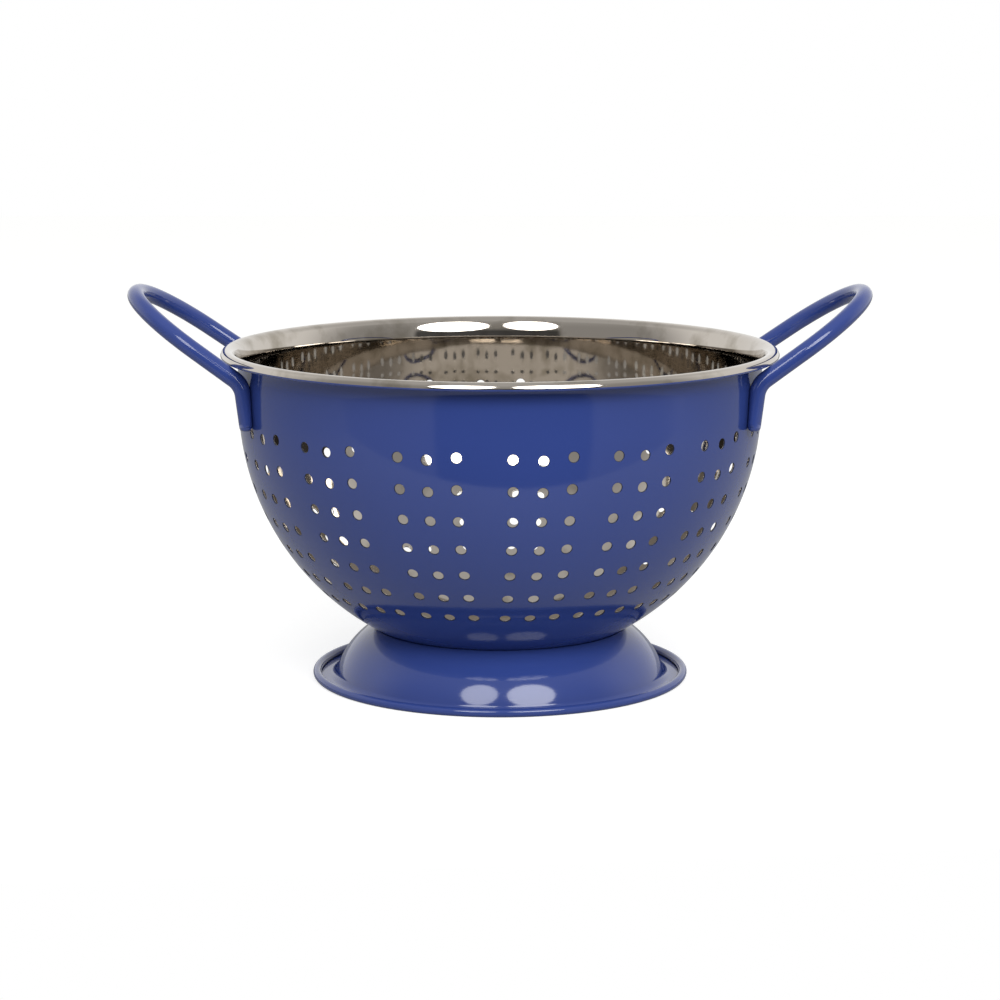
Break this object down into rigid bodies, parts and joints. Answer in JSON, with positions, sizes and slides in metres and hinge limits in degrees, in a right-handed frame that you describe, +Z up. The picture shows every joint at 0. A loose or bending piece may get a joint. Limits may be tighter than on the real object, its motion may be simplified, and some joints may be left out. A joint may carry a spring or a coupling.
{
  "type": "colander",
  "caption": "Footed colander: a perforated half-ball bowl with a rolled rim, painted outside and bare steel inside, on a flared foot ring, with wire loop handles.",
  "frame": {"origin": "centre of the foot ring's underside, on the surface the colander stands on", "axes": "+Z up along the bowl's axis, +X from the left handle to the right handle, -Y towards the viewer"},
  "size_m": [0.2922, 0.22, 0.1564],
  "materials": {
    "painted_bowl": "gloss blue paint outside, bare polished stainless steel inside and on the rim",
    "blue_paint": "gloss blue paint all over"
  },
  "bodies": {
    "root": {"bowl": "painted_bowl", "foot_ring": "blue_paint", "left_handle": "blue_paint", "right_handle": "blue_paint"}
  },
  "joints": []
}
